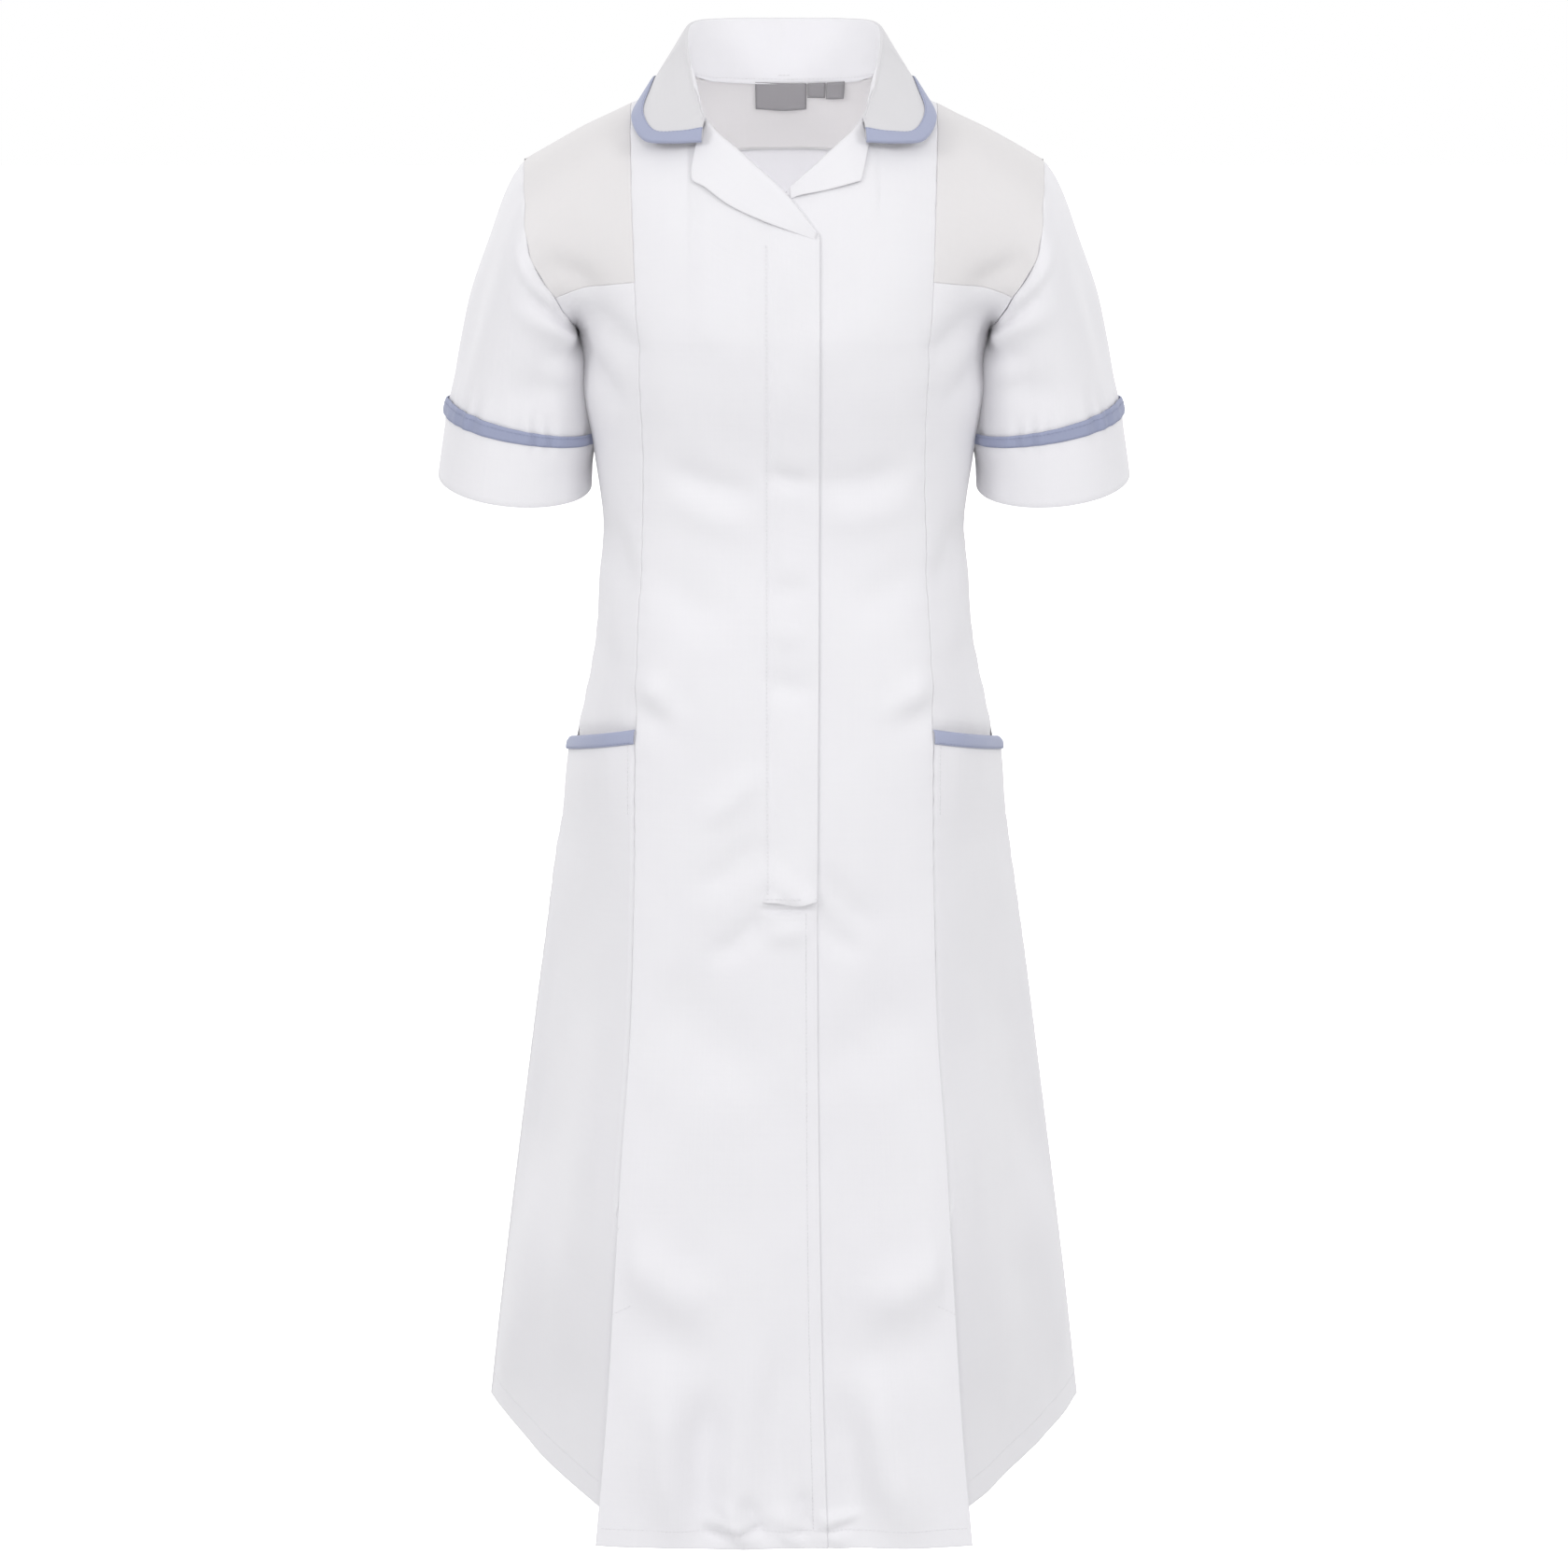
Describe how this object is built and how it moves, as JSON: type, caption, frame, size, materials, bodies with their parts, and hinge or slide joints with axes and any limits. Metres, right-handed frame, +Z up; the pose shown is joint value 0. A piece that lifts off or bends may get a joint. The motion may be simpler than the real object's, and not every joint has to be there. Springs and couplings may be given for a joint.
{
  "type": "nurse uniform dress",
  "caption": "Short-sleeved zip-front nurse uniform dress with bound open collar, bound cuffs, bound pocket mouths and kick pleats, filled out as if worn.",
  "frame": {"origin": "between the shoulders, level with the sides of the neck, where the garment is held when worn", "axes": "+Z up to the neck, -Y to the wearer's front, +X to the wearer's left"},
  "size_m": [0.5062, 0.344, 1.1104],
  "materials": {
    "white_cloth": "matt",
    "binding": "matt",
    "label": "satin"
  },
  "bodies": {
    "root": {"back_centre": "white_cloth", "back_yoke": "white_cloth", "collar": "white_cloth", "collar_binding": "binding", "cuff_binding_left": "binding", "cuff_binding_right": "binding", "cuff_left": "white_cloth", "cuff_right": "white_cloth", "front_left": "white_cloth", "front_right": "white_cloth", "label_end": "label", "label_middle": "label", "label_wide": "label", "lapel_left": "white_cloth", "lapel_right": "white_cloth", "placket": "white_cloth", "pleat_left": "white_cloth", "pleat_right": "white_cloth", "pocket_binding_left": "binding", "pocket_binding_right": "binding", "side_back_left": "white_cloth", "side_back_right": "white_cloth", "side_front_left": "white_cloth", "side_front_right": "white_cloth", "skirt_side_left": "white_cloth", "skirt_side_right": "white_cloth", "sleeve_left": "white_cloth", "sleeve_right": "white_cloth", "upper_side_front_left": "white_cloth", "upper_side_front_right": "white_cloth"}
  },
  "joints": []
}
